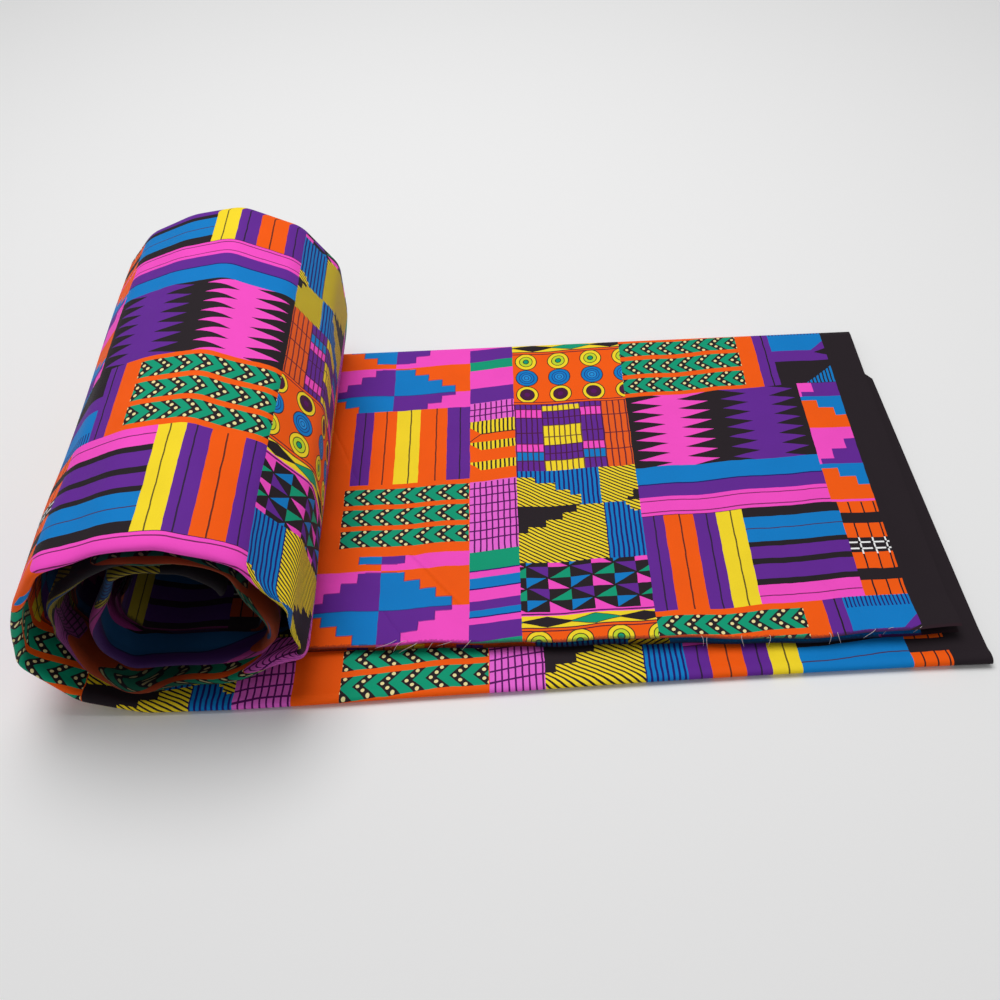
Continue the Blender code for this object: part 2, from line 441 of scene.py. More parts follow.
def addSheet():
    points, widths, layer, rowOf = sheetPoints()
    across, along = clothPlaces(points, widths, layer, rowOf)
    count, wide = across.shape
    mesh = bpy.data.meshes.new("printed_cloth")
    index = np.arange(count * wide).reshape(count, wide)
    corners = [index[:-1, :-1], index[:-1, 1:], index[1:, 1:], index[1:, :-1]]
    quads = np.stack(corners, axis=-1).reshape(-1, 4)
    place = points.reshape(-1, 3) * 0.001 + np.array(cloth["place"])
    mesh.vertices.add(len(place))
    mesh.vertices.foreach_set("co", place.ravel())
    mesh.loops.add(quads.size)
    mesh.loops.foreach_set("vertex_index", quads.ravel())
    mesh.polygons.add(len(quads))
    mesh.polygons.foreach_set("loop_start", np.arange(0, quads.size, 4))
    mesh.polygons.foreach_set("use_smooth", np.ones(len(quads), bool))
    mesh.update(calc_edges=True)
    held = widths[:, None]
    rise = atWidth("rise", across)
    rise += atWidth("foldRise", held) * fadeIn(rowOf[None, :], *printLie["foldRows"])
    slack = fadeIn(rowOf[None, :], *printLie["slackRows"]) * smooth((400 - held) / 70)
    rise -= printLie["foldSlack"] * slack
    stretch = atWidth("alongStretch", along) * fadeIn(across, 400, 80)
    row = along + rise + stretch
    uv = np.stack(
        [across / cloth["clothWidth"], (row - printLie["mapStart"]) / printLie["mapLength"]], axis=-1
    )
    layerMap = mesh.uv_layers.new(name="OFBake")
    layerMap.data.foreach_set("uv", uv.reshape(-1, 2)[quads.ravel()].ravel())
    fray = mesh.attributes.new("cutEdge", "FLOAT", "POINT")
    fray.data.foreach_set(
        "value", np.minimum(along, cloth["clothLength"] - along).ravel().astype(np.float32)
    )
    print("printed cloth:", count, "stations,", wide, "points across,", 2 * len(quads), "triangles")
    return addObject("printed_cloth", mesh)


# Colours of the print, as in the photograph
inks = {
    "orange": "FF5E00",
    "yellow": "FFE127",
    "purple": "662699",
    "blue": "0080CE",
    "pink": "FF50CD",
    "green": "00A078",
    "black": "241B21",
    "cream": "F7EAA6",
    "maroon": "4A1440",
    "navy": "1B1570",
    "line": "4A1030",
    "plum": "5A0A60",
    "rose": "F26BDD",
    "lime": "C9E02C",
    "white": "FFFFFF",
    "sky": "1E96E0",
    # Dark cut-edge ink: the fuzz of frayed threads together with painted shade of the gaps beneath the raw
    # edges
    "frayAndGapShade": "2E1620",
    "shade": "0C060C",
    "brick": "F2601A",
}


def ink(name):
    # An sRGB hex colour as linear values
    parts = [int(inks[name][i : i + 2], 16) / 255 for i in (0, 2, 4)]
    return tuple(p / 12.92 if p <= 0.04045 else ((p + 0.055) / 1.055) ** 2.4 for p in parts) + (1.0,)


# Small helpers for node trees
def feed(socket, value):
    if isinstance(value, str):
        socket.default_value = ink(value)
    elif isinstance(value, (int, float, tuple)):
        socket.default_value = value
    else:
        socket.id_data.links.new(value, socket)


def treeOf(*values):
    # The node tree of the first value that is a socket
    return next(value.id_data for value in values if isinstance(value, bpy.types.NodeSocket))


def mathNode(operation):
    def build(*values, clamp=False):
        node = treeOf(*values).nodes.new("ShaderNodeMath")
        node.operation = operation
        node.use_clamp = clamp
        for socket, value in zip(node.inputs, values):
            feed(socket, value)
        return node.outputs[0]

    return build


plus, minus, times, ratio = map(mathNode, ("ADD", "SUBTRACT", "MULTIPLY", "DIVIDE"))
scaled, away, fraction = map(mathNode, ("MULTIPLY_ADD", "ABSOLUTE", "FRACT"))
larger, smaller, lineAt = map(mathNode, ("MAXIMUM", "MINIMUM", "COMPARE"))
below, above, wrap = map(mathNode, ("LESS_THAN", "GREATER_THAN", "FLOORED_MODULO"))
sine, root, wholePart, raised = map(mathNode, ("SINE", "SQRT", "FLOOR", "POWER"))


def blend(factor, first, second):
    node = treeOf(factor).nodes.new("ShaderNodeMix")
    node.data_type = "RGBA"
    for index, value in ((0, factor), (6, first), (7, second)):
        feed(node.inputs[index], value)
    return node.outputs[2]


def rampBands(value, length, stops):
    # Flat bands of colour or of grey levels: stops are (start, ink or level), value runs from 0 to length
    node = treeOf(value).nodes.new("ShaderNodeValToRGB")
    ramp = node.color_ramp
    ramp.interpolation = "CONSTANT"
    while len(ramp.elements) < len(stops):
        ramp.elements.new(0.5)
    for element, (start, held) in zip(ramp.elements, stops):
        element.position = start / length
    for element, (start, held) in zip(ramp.elements, stops):
        element.color = ink(held) if isinstance(held, str) else (held,) * 3 + (1,)
    feed(node.inputs[0], ratio(value, length))
    return node.outputs[0]


def layered(ground, *layers):
    # Each layer is (mask, ink or colour) and lies over the ones before it
    for mask, over in layers:
        ground = blend(mask, ground, over)
    return ground


def both(*masks):
    total = masks[0]
    for mask in masks[1:]:
        total = times(total, mask)
    return total


def either(*masks):
    total = masks[0]
    for mask in masks[1:]:
        total = larger(total, mask)
    return total


def between(value, low, high):
    return both(above(value, low), below(value, high))


def joined(across, row):
    node = across.id_data.nodes.new("ShaderNodeCombineXYZ")
    feed(node.inputs[0], across)
    feed(node.inputs[1], row)
    return node.outputs[0]


def noiseAt(vector, scale, detail):
    node = vector.id_data.nodes.new("ShaderNodeTexNoise")
    node.inputs["Scale"].default_value = scale
    node.inputs["Detail"].default_value = detail
    feed(node.inputs["Vector"], vector)
    return node.outputs


def notIn(mask):
    return minus(1, mask)


def newGroup(name, inputs=("Across", "Row"), outputs=("Color",)):
    tree = bpy.data.node_groups.new(name, "ShaderNodeTree")
    for label in inputs:
        tree.interface.new_socket(label, in_out="INPUT", socket_type="NodeSocketFloat")
    for label in outputs:
        kind = "NodeSocketColor" if label == "Color" else "NodeSocketFloat"
        tree.interface.new_socket(label, in_out="OUTPUT", socket_type=kind)
    entry = tree.nodes.new("NodeGroupInput")
    end = tree.nodes.new("NodeGroupOutput")
    return [entry.outputs[label] for label in inputs], end


def closeGroup(end, **values):
    for label, value in values.items():
        feed(end.inputs[label], value)
    return end.id_data


def useGroup(tree, group, **values):
    node = tree.nodes.new("ShaderNodeGroup")
    node.node_tree = group
    for label, value in values.items():
        feed(node.inputs[label], value)
    return node.outputs


def block(group, across, row, **values):
    return useGroup(treeOf(across), group, Across=across, Row=row, **values)["Color"]


# The kente print. Across runs from the right selvedge, Row runs along the cloth, both in millimetres.
kente = {
    "rowRepeat": 200.6,
    "acrossRepeat": 469.0,
    "selvedge": 18.5,
    "otherSelvedge": 1132.0,
    "spikePitch": 7.6,
    "stepRise": 5.85,
    "stepTread": 8.2,
}


def pairedStripes(across, stripes):
    # Upright stripes with a thin dark line up the middle of each
    colour = rampBands(across, 500, [(0, stripes[0][2])] + [(low, name) for low, high, name in stripes])
    lines = either(*[lineAt(across, (low + high) / 2, 0.38) for low, high, name in stripes])
    return blend(times(lines, 0.88), colour, "black")


def makeChevrons():
    # One row of chevrons that point to higher Across; Lift runs over the row's height from -1 to 1
    (across, lift, pitch), end = newGroup("Chevron Row", ["Across", "Lift", "Pitch"], ["Color"])
    lean, half = 6.2, 6.0
    arm = away(lift)
    tip = scaled(arm, lean, across)
    phase = fraction(ratio(tip, pitch))
    beside = times(plus(phase, -0.5), pitch)
    dots = []
    for spot in (0.0, 0.42, 0.82):
        apart = plus(arm, -spot)
        out = scaled(apart, -lean, beside)
        along = times(apart, half)
        reach = scaled(out, out, times(along, along))
        dots.append(below(reach, 0.85))
    dark = below(away(beside), 2.65)
    return closeGroup(end, Color=layered("green", (dark, "black"), (either(*dots), "cream")))


def makeChevronRows(chevrons):
    # Three rows on orange. Row is counted from the bottom of the lowest one.
    (across, row, pitch, rowPitch, low, high), end = newGroup(
        "Chevron Rows", ["Across", "Row", "Pitch", "Row Pitch", "Low", "High"], ["Color"]
    )
    local = wrap(row, rowPitch)
    height = times(rowPitch, 0.78)
    lift = minus(times(ratio(local, height), 2), 1)
    start = scaled(pitch, 0.5, plus(minus(across, low), -4.7))
    woven = useGroup(treeOf(across), chevrons, Across=start, Lift=lift, Pitch=pitch)["Color"]
    inRows = both(below(local, height), above(row, 0), below(row, times(rowPitch, 3)))
    inside = both(inRows, above(across, low), below(across, high))
    return closeGroup(end, Color=blend(inside, "orange", woven))


def chevronBlock(groups, across, row, pitch, rowPitch, low, high):
    sizes = {"Pitch": pitch, "Row Pitch": rowPitch, "Low": low, "High": high}
    return block(groups["chevronRows"], across, row, **sizes)


def makeSpikes():
    # Pink and purple columns with long level spikes on black
    (across, row), end = newGroup("Spike Weave")

    def wave(shift):
        phase = fraction(ratio(plus(row, shift), kente["spikePitch"]))
        return away(scaled(phase, 2, -1))

    def edge(base, reach, shift):
        return scaled(wave(shift), reach, base)

    pink = both(above(across, edge(112.7, -17.9, -97.1)), below(across, edge(121.2, 18.1, -99.75)))
    purple = both(above(across, edge(59.4, -14.8, -100.9)), below(across, edge(71.8, 15.7, -96.9)))
    return closeGroup(end, Color=layered("black", (pink, "pink"), (purple, "purple")))


def makeSteps():
    # One stepped diamond in four colours on four grounds; Side and Height are from its middle
    (side, height), end = newGroup("Stepped Diamond", ["Side", "Height"], ["Color"])
    rung = ratio(plus(away(plus(height, -1.5)), 1.9), kente["stepRise"])
    level = wholePart(rung)
    reach = scaled(level, -kente["stepTread"], 36.5)
    reach = times(reach, below(level, 3.5))
    out = away(side)
    inside = below(out, reach)
    onTread = both(below(fraction(rung), 0.085), below(level, 4.5))
    onTread = both(onTread, above(out, reach), below(out, plus(reach, kente["stepTread"])))
    outline = either(onTread, both(lineAt(out, reach, 0.3), below(level, 3.5)))
    outline = either(outline, both(below(away(height), 0.3), inside))
    top = above(height, 0)
    outer = above(side, 0)
    upperInk = blend(outer, "blue", "purple")
    lowerInk = blend(outer, "purple", "blue")
    upperGround = blend(outer, "orange", "pink")
    lowerGround = blend(outer, "pink", "orange")
    figure = blend(top, lowerInk, upperInk)
    ground = blend(top, lowerGround, upperGround)
    colour = blend(inside, ground, figure)
    return closeGroup(end, Color=blend(times(outline, 0.6), colour, "navy"))


# Rings of the discs, from the middle out, as (radius, ink)
rings = {
    "green": [
        (0, "green"), (1.4, "black"), (1.9, "lime"), (3.7, "black"), (4.2, "yellow"), (6.1, "black"),
        (6.7, "orange"),
    ],
    "blue": [
        (0, "sky"), (1.1, "navy"), (1.5, "sky"), (2.6, "navy"), (3.0, "blue"), (4.2, "navy"), (4.6, "blue"),
        (6.1, "black"), (6.7, "orange"),
    ],
    "maroon": [
        (0, "plum"), (1.6, "maroon"), (4.0, "black"), (4.5, "yellow"), (6.1, "black"), (6.7, "orange"),
    ],
    "widest": 20,
    "pitch": 19.6,
    "rowPitch": 14.35,
    "flatten": 0.93,
}


def makeRings():
    # Rows of ringed discs: yellow and green at the top, blue, then yellow and maroon
    (across, row), end = newGroup("Ringed Discs")
    side = minus(wrap(plus(across, -130.6), rings["pitch"]), rings["pitch"] / 2)
    lift = times(minus(wrap(row, rings["rowPitch"]), rings["rowPitch"] / 2), rings["flatten"])
    reach = root(plus(times(side, side), times(lift, lift)))
    green, blue, maroon = (
        rampBands(reach, rings["widest"], rings[key]) for key in ("green", "blue", "maroon")
    )
    second, third = above(row, rings["rowPitch"]), above(row, 2 * rings["rowPitch"])
    return closeGroup(end, Color=layered(maroon, (second, blue), (third, green)))


cells = {
    "sideInks": [
        (0, "purple"), (7.5, "blue"), (14.2, "pink"), (20.3, "purple"), (40.8, "pink"), (47.7, "purple"),
    ],
    "middleInks": [
        (0, "yellow"), (7.6, "purple"), (19.0, "yellow"), (34.6, "purple"), (46.1, "yellow"),
        (50.2, "purple"),
    ],
    "sideLines": (7.5, 14.2, 20.3, 28.8, 40.8, 47.7),
    "middleLines": (7.6, 12.8, 19.0, 25.5, 34.6, 40.5, 46.1),
    "brickLines": (13.4, 25.9, 40.4),
    "bricksTo": 156.5,
    "lineHalf": 0.38,
}


def makeCells():
    # Small woven cells in three groups, with orange bricks beside them
    (across, row), end = newGroup("Woven Cells")
    side = rampBands(row, 60, cells["sideInks"])
    middle = rampBands(row, 60, cells["middleInks"])
    inMiddle = between(across, 169, 191.4)
    colour = blend(inMiddle, side, middle)
    inBricks, besideBricks = below(across, cells["bricksTo"]), above(across, cells["bricksTo"])
    colour = blend(inBricks, colour, "brick")
    upright = times(below(wrap(plus(across, -cells["bricksTo"]), 3.12), 0.8), besideBricks)
    upright = plus(upright, times(below(wrap(plus(across, -142.4), 3.5), 0.8), inBricks))
    sideLines, middleLines, brickLines = (
        either(*[lineAt(row, at, cells["lineHalf"]) for at in cells[key]])
        for key in ("sideLines", "middleLines", "brickLines")
    )
    level = blend(inMiddle, sideLines, middleLines)
    level = blend(inBricks, level, brickLines)
    lines = larger(upright, level)
    return closeGroup(end, Color=blend(times(lines, 0.9), colour, "line"))


# The range of a staircase's heights, and of its places across in the hatches and in the edge column
stairs = {"highest": 100, "inHatches": 250, "atEdge": 60}


def staircase(across, reach, stops):
    # A height in millimetres that changes in steps with Across, as far as the reach
    levels = [(start, height / stairs["highest"]) for start, height in stops]
    return times(rampBands(across, reach, levels), stairs["highest"])


def makeHatches():
    # Stepped fields of slanting yellow hatch and upright blue hatch
    (across, row), end = newGroup("Hatched Steps")
    slant = wrap(scaled(across, -0.62, row), 2.35)
    yellow = blend(below(slant, 0.95), "yellow", "black")
    upright = wrap(across, 2.55)
    blue = blend(below(upright, 1.05), "blue", "navy")
    reach = stairs["inHatches"]
    darkFrom = staircase(
        across, reach, [(0, 37), (161.3, 36.5), (175, 32.2), (183, 28), (192, 23), (201.5, 19)]
    )
    yellowTo = staircase(
        across, reach, [(0, 62.8), (161.3, 36.5), (172.3, 44), (178, 48.3), (186.5, 53.6), (197, 57.8)]
    )
    isYellow = either(below(row, darkFrom), both(above(row, 37.2), below(row, yellowTo)))
    isDark = both(above(row, darkFrom), below(row, 37.2), above(across, 174))
    left = blend(isYellow, blue, yellow)
    left = blend(isDark, left, "black")
    lowFrom = staircase(across, reach, [(0, 30), (145, 31.5), (147, 34.5), (149, 37)])
    isYellow = above(row, lowFrom)
    notch = either(
        both(below(across, 145), between(row, 39.2, 44.7)),
        both(below(across, 148.2), between(row, 37.6, 40)),
    )
    right = blend(isYellow, blue, yellow)
    right = blend(notch, right, "black")
    return closeGroup(end, Color=blend(below(across, 161.3), left, right))


def makeTriangles():
    # Pinwheels of small triangles on black
    (across, row), end = newGroup("Triangle Pinwheels")
    columns = ratio(minus(204.2, across), 22.3)
    phase = fraction(columns)
    second = above(phase, 0.5)
    side = fraction(times(columns, 2))
    rows = ratio(row, 13.9)
    upper = above(fraction(rows), 0.5)
    rise = fraction(times(rows, 2))
    total = plus(side, rise)
    corner = above(total, 1.08)
    opposite = below(total, 0.92)
    lower = below(rise, minus(side, 0.08))
    higher = above(rise, plus(side, 0.08))
    purple = both(corner, upper, notIn(second))
    blue = both(higher, notIn(upper), notIn(second))
    green = both(lower, upper, second)
    pink = both(opposite, notIn(upper), second)
    colour = layered("black", (purple, "purple"), (blue, "blue"), (green, "green"), (pink, "pink"))
    return closeGroup(end, Color=colour)


def makeLozenges():
    # Long black and green lozenges on yellow, with thin dark edges
    (across, row), end = newGroup("Lozenge Band")
    place = ratio(plus(across, -159.2), 47.4)
    isBlack = above(fraction(place), 0.5)
    side = away(minus(fraction(times(place, 2)), 0.5))
    lift = ratio(away(row), 3.1)
    reach = plus(times(side, 1.9), lift)
    figure = blend(isBlack, "green", "black")
    colour = layered("yellow", (below(reach, 1.12), "black"), (below(reach, 0.98), figure))
    return closeGroup(end, Color=colour)


def makeDiscColumn(groups):
    # Column of discs, cells, hatches, triangles and lozenges, from 142 to 207 across
    (across, row), end = newGroup("Disc Column")
    local = wrap(plus(row, -114), kente["rowRepeat"])
    parts = [
        # up to this row, what lies there
        (138.1, block(groups["triangles"], across, plus(local, -107.6))),
        (107.6, blend(lineAt(local, 106.3, 0.45), "pink", "plum")),
        (105.2, block(groups["lozenges"], across, plus(local, -101.4))),
        (97.9, blend(either(lineAt(local, 95.6, 0.35), lineAt(local, 97.6, 0.4)), "orange", "line")),
        (95.2, block(groups["rings"], across, plus(local, -52.9))),
        (54.0, blend(either(lineAt(local, 51.7, 0.35), lineAt(local, 53.6, 0.3)), "orange", "line")),
        (51.5, block(groups["cells"], across, local)),
    ]
    hatches = block(groups["hatches"], across, plus(local, -138.1))
    return closeGroup(end, Color=layered(hatches, *[(below(local, limit), part) for limit, part in parts]))


def makeBandColumn():
    # Narrow column of plain bands, pink grids and fringed bars, from 207 to 233 across
    (across, row), end = newGroup("Band Column")
    local = wrap(plus(row, 1.3), kente["rowRepeat"])
    stops = [
        (0, "green"), (7.8, "purple"), (18.1, "pink"), (22.2, "navy"), (22.9, "blue"), (27.2, "purple"),
        (32.4, "pink"), (39.3, "navy"), (40.2, "blue"), (46.4, "pink"), (50.4, "navy"), (51.3, "green"),
        (62.7, "navy"), (63.2, "rose"), (110.8, "orange"), (157.4, "rose"), (172.2, "purple"),
        (184.6, "pink"),
    ]
    colour = rampBands(local, kente["rowRepeat"], stops)
    upright = below(wrap(plus(across, -207.9), 3.15), 0.85)
    level = either(
        *[lineAt(local, at, 0.45) for at in (71.6, 77.4, 83.2, 89.2, 95.2, 101, 106.6, 162.2, 167)]
    )
    inGrid = either(between(local, 63.2, 110.8), between(local, 157.4, 172.2))
    colour = blend(both(inGrid, larger(upright, level)), colour, "plum")
    taper = times(larger(plus(across, -226.8), 0), 0.85)
    bars = []
    for low, high in ((119.6, 125.9), (134.6, 140.9), (147.3, 157.4)):
        bars.append(both(above(local, plus(taper, low)), below(local, high)))
    fringe = blend(below(wrap(across, 2.45), 1.0), "yellow", "black")
    colour = blend(either(*bars), colour, fringe)
    slope = minus(147.0, taper)
    colour = blend(lineAt(local, slope, 0.35), colour, "black")
    return closeGroup(end, Color=colour)


def makeDiamondColumn(groups):
    # Column of stepped diamonds, paired stripes and chevrons, from 233 to 323 across
    (across, row), end = newGroup("Diamond Column")
    local = wrap(plus(row, 31.6), kente["rowRepeat"])
    height = minus(wrap(plus(local, 10.9), 48.6), 24.3)
    colour = useGroup(treeOf(across), groups["steps"], Side=plus(across, -278.3), Height=height)["Color"]
    chevronRows = chevronBlock(groups, across, plus(local, -101.6), 11.1, 14.3, 233.4, 301.5)
    colour = blend(above(local, 95.4), colour, chevronRows)
    stripes = [
        (233, 244.3, "purple"), (244.3, 260.2, "orange"), (260.2, 274.3, "yellow"),
        (274.3, 288.6, "orange"), (288.6, 299.5, "purple"),
    ]
    colour = blend(above(local, 144.6), colour, pairedStripes(across, stripes))
    margin = both(above(local, 144.6), above(across, 299.5))
    colour = blend(margin, colour, "orange")
    return closeGroup(end, Color=colour)


def makeEdgeColumn():
    # Narrow column beside the selvedge: steps above, orange blocks and a small plaid below
    (across, row), end = newGroup("Edge Column")
    stops = [
        (0, "orange"), (9, "black"), (16, "orange"), (26, "black"), (35.5, "orange"), (45, "black"),
        (52, "orange"), (59.6, "pink"), (61.5, "orange"),
    ]
    colour = rampBands(row, 200, stops)
    upright = either(*[lineAt(across, at, 0.4) for at in (33.3, 26.3, 20.1)])
    blocks = both(upright, below(row, 59.6))
    colour = blend(blocks, colour, "black")
    dashes = both(
        either(lineAt(row, 28.9, 0.5), lineAt(row, 32.9, 0.5)),
        above(wrap(plus(across, -19.8), 6.7), 1.4),
    )
    ticks = both(
        upright, between(row, 25.6, 36), notIn(either(lineAt(row, 28.9, 0.7), lineAt(row, 32.9, 0.7)))
    )
    plaid = both(either(dashes, ticks), between(row, 25.4, 36.2))
    colour = blend(plaid, colour, "white")
    steps = wrap(plus(row, -61.5), 52.5)
    drop = staircase(across, stairs["atEdge"], [(0, 10), (24.6, 16), (33, 22)])
    rise = staircase(across, stairs["atEdge"], [(0, 44), (24.6, 36.5), (33, 29)])
    stepped = layered(
        "orange", (above(steps, drop), "blue"), (above(steps, 25.2), "purple"),
        (above(steps, rise), "pink"), (both(above(across, 40.3), above(steps, 25.2)), "pink"),
    )
    colour = blend(above(row, 61.5), colour, stepped)
    return closeGroup(end, Color=colour)


def makeCornerBlock():
    # Plain block beside the chevrons, from 18 to 50 across: blue, purple, black and a hatched corner
    (across, row), end = newGroup("Corner Block")
    colour = rampBands(row, 60, [(0, "black"), (19.5, "purple"), (29, "blue")])
    fringe = both(above(row, 43.4), below(wrap(across, 1.95), 0.75))
    colour = blend(fringe, colour, "navy")
    fold = below(scaled(across, 0.9, row), 53.2)
    colour = blend(both(fold, above(row, 28.4)), colour, "purple")
    notch = below(scaled(away(plus(row, -27)), 2.4, across), 25.5)
    colour = blend(notch, colour, "black")
    wedge = both(below(scaled(across, 0.83, row), 29.8), below(row, 16), above(row, 0.6))
    hatch = blend(below(wrap(across, 2.2), 0.9), "blue", "black")
    colour = blend(wedge, colour, hatch)
    return closeGroup(end, Color=colour)


def makeStripeColumn(groups):
    # Column of stripes, level bands, spikes and chevrons beside the edge column, from 18 to 142 across
    (across, row), end = newGroup("Stripe Column")
    local = wrap(plus(row, -16.5), kente["rowRepeat"])
    stops = [
        (0, "pink"), (11.3, "black"), (14.8, "purple"), (23.8, "black"), (27.3, "purple"), (34.7, "black"),
        (37.8, "blue"), (53.6, "black"), (59.8, "pink"), (72.6, "purple"), (81.2, "navy"), (81.8, "blue"),
    ]
    bars = rampBands(local, 100, stops)
    stripes = [(89.7, 102, "yellow"), (102, 115, "purple"), (115, 130, "orange"), (130, 142, "purple")]
    colour = blend(
        both(above(across, 89.7), below(local, 59.8)), bars, pairedStripes(across, stripes)
    )
    thin = either(lineAt(local, 4.8, 0.3), lineAt(local, 46.3, 0.3))
    thin = both(thin, below(across, 89.7))
    thin = either(thin, lineAt(local, 62.3, 0.35), lineAt(local, 69.9, 0.3))
    colour = blend(times(thin, 0.85), colour, "line")
    spikes = block(groups["spikes"], across, local)
    colour = blend(above(local, 94), colour, spikes)
    chevronRows = chevronBlock(groups, across, plus(local, -153.3), 10.35, 15.7, 70.5, 143)
    colour = blend(above(local, 150.2), colour, chevronRows)
    upper = above(local, 150.2)
    edgeBand = blend(lineAt(across, 54.4, 0.4), "purple", "black")
    colour = blend(both(upper, below(across, 60.2)), colour, edgeBand)
    corner = block(groups["corner"], across, plus(local, -150.2))
    colour = blend(both(upper, below(across, 50.5)), colour, corner)
    edge = block(groups["edge"], across, local)
    limit = scaled(above(local, 60), 2.7, 38.9)
    colour = blend(both(below(local, 150.5), below(across, limit)), colour, edge)
    return closeGroup(end, Color=colour)


def makePrint():
    chevrons = makeChevrons()
    groups = {
        "chevronRows": makeChevronRows(chevrons),
        "spikes": makeSpikes(),
        "steps": makeSteps(),
        "rings": makeRings(),
        "cells": makeCells(),
        "hatches": makeHatches(),
        "triangles": makeTriangles(),
        "lozenges": makeLozenges(),
        "edge": makeEdgeColumn(),
        "corner": makeCornerBlock(),
    }
    columns = {
        "discs": makeDiscColumn(groups),
        "bands": makeBandColumn(),
        "diamonds": makeDiamondColumn(groups),
        "stripes": makeStripeColumn(groups),
    }
    (across, row), end = newGroup("Kente Print")
    local = wrap(across, kente["acrossRepeat"])
    early = below(local, kente["selvedge"])
    inLater = above(across, 100)
    local = scaled(both(early, inLater), kente["acrossRepeat"], local)
    moved = times(above(local, 323), 115.7)
    for start, shift in ((348.7, 91.0), (414, -25.7)):
        moved = plus(moved, times(above(local, start), shift))
    place = minus(local, moved)
    colour = block(columns["diamonds"], place, row)
    for limit, key in ((233, "bands"), (207.3, "discs"), (142, "stripes")):
        part = block(columns[key], place, row)
        colour = blend(below(place, limit), colour, part)
    selvedge = either(below(across, kente["selvedge"]), above(across, kente["otherSelvedge"]))
    colour = blend(selvedge, colour, "black")
    return closeGroup(end, Color=colour)


def makePlace():
    # Across and Row in millimetres from the cloth's own map, with a slight waver as of a hand-set print
    (waver,), end = newGroup("Print Place", ["Waver"], ["Across", "Row"])
    tree = end.id_data
    source = tree.nodes.new("ShaderNodeUVMap")
    source.uv_map = "OFBake"
    parts = tree.nodes.new("ShaderNodeSeparateXYZ")
    feed(parts.inputs[0], source.outputs[0])
    across = times(parts.outputs[0], cloth["clothWidth"])
    row = scaled(parts.outputs[1], printLie["mapLength"], printLie["mapStart"])
    drift = tree.nodes.new("ShaderNodeSeparateColor")
    feed(drift.inputs[0], noiseAt(joined(across, row), 0.11, 2)["Color"])
    places = [scaled(minus(drift.outputs[i], 0.5), waver, base) for i, base in enumerate((across, row))]
    return closeGroup(end, Across=places[0], Row=places[1])


def makeWeave():
    # Fine plain weave: a height for bump, and a tone for slightly uneven dye
    (across, row, pitch), end = newGroup("Cotton Weave", ["Across", "Row", "Pitch"], ["Height", "Tone"])
    threads = [sine(ratio(times(place, 2 * pi), pitch)) for place in (across, row)]
    height = scaled(times(*threads), 0.5, 0.5)
    place = joined(across, row)
    cloud, grain = noiseAt(place, 0.05, 5)[0], noiseAt(place, 1.3, 3)[0]
    tone = scaled(minus(cloud, 0.5), 0.14, 1.0)
    tone = scaled(minus(grain, 0.5), 0.10, tone)
    return closeGroup(end, Height=plus(height, times(grain, 0.6)), Tone=tone)


def makeFrayAndShade():
    # How far a cut edge is frayed and darkened, from the distance to it in millimetres; the darkening is
    # partly frayed threads and partly painted shade of the gap under the lifted raw edge
    (across, distance), end = newGroup("Cut Edge Fray and Shade", ["Across", "Distance"], ["Amount"])
    reach = scaled(noiseAt(joined(across, distance), 0.9, 3)[0], 3.4, 0.3)
    amount = minus(1, ratio(distance, reach), clamp=True)
    return closeGroup(end, Amount=raised(amount, 0.6))


# The roll's inside, across the cloth: start and reach of the shade, and the last row of the inner face
rollInside = {"turns": (680, 60), "face": (430, 80), "faceRows": 225}


def makeShade():
    # The shade in which the inside of the roll lies: its inner turns, and the inner face of its outer turn
    (across, row), end = newGroup("Roll Shade", ["Across", "Row"], ["Amount"])
    turns, face = (
        scaled(across, 1 / reach, -start / reach, clamp=True)
        for start, reach in (rollInside["turns"], rollInside["face"])
    )
    return closeGroup(end, Amount=larger(turns, times(face, below(row, rollInside["faceRows"]))))


def makeCreases():
    # Sharp pressed creases as a height, each along a line in Across and Row
    (across, row), end = newGroup("Pressed Creases", ["Across", "Row"], ["Height"])
    total = None
    for (x1, y1), (x2, y2), half, height in pressedCreases:
        length = float(np.hypot(x2 - x1, y2 - y1))
        ux, uy = (x2 - x1) / length, (y2 - y1) / length
        px, py = plus(across, -x1), plus(row, -y1)
        along = plus(times(px, ux), times(py, uy))
        beside = minus(times(px, uy), times(py, ux))
        over = minus(along, smaller(larger(along, 0), length))
        gap = root(plus(times(beside, beside), times(over, over)))
        line = minus(1, ratio(gap, half), clamp=True)
        part = times(times(line, line), height)
        total = part if total is None else plus(total, part)
    return closeGroup(end, Height=total)


# Pressed creases on the print: two ends as (Across, Row), half width, height from -1 to 1
pressedCreases = [
    ((263.5, 63.5), (238.0, 30.5), 1.9, -1.0),
    ((276.0, 30.0), (262.0, 8.0), 2.2, -0.5),
    ((150.0, 66.0), (168.0, 40.0), 2.4, -0.35),
    ((60.0, 30.0), (44.0, 6.0), 2.2, -0.45),
    ((312.0, 158.0), (296.0, 118.0), 2.6, -0.45),
]

finish = {
    "waver": 0.9,
    "weavePitch": 0.55,
    "Roughness": 0.7,
    "Sheen Weight": 0.03,
    "Sheen Roughness": 0.45,
    "Specular IOR Level": 0.16,
    "weaveBump": (0.25, 0.0002),  # strength and height in metres
    "creaseBump": (0.55, 0.0012),
    # strength of the dark cut-edge band: frayed threads together with painted shade of the gap beneath them
    "frayAndShadeShare": 0.9,
    "rollShade": 0.8,
}


def addBump(tree, height, sizes):
    node = tree.nodes.new("ShaderNodeBump")
    for label, value in zip(("Strength", "Distance", "Height"), (*sizes, height)):
        feed(node.inputs[label], value)
    return node


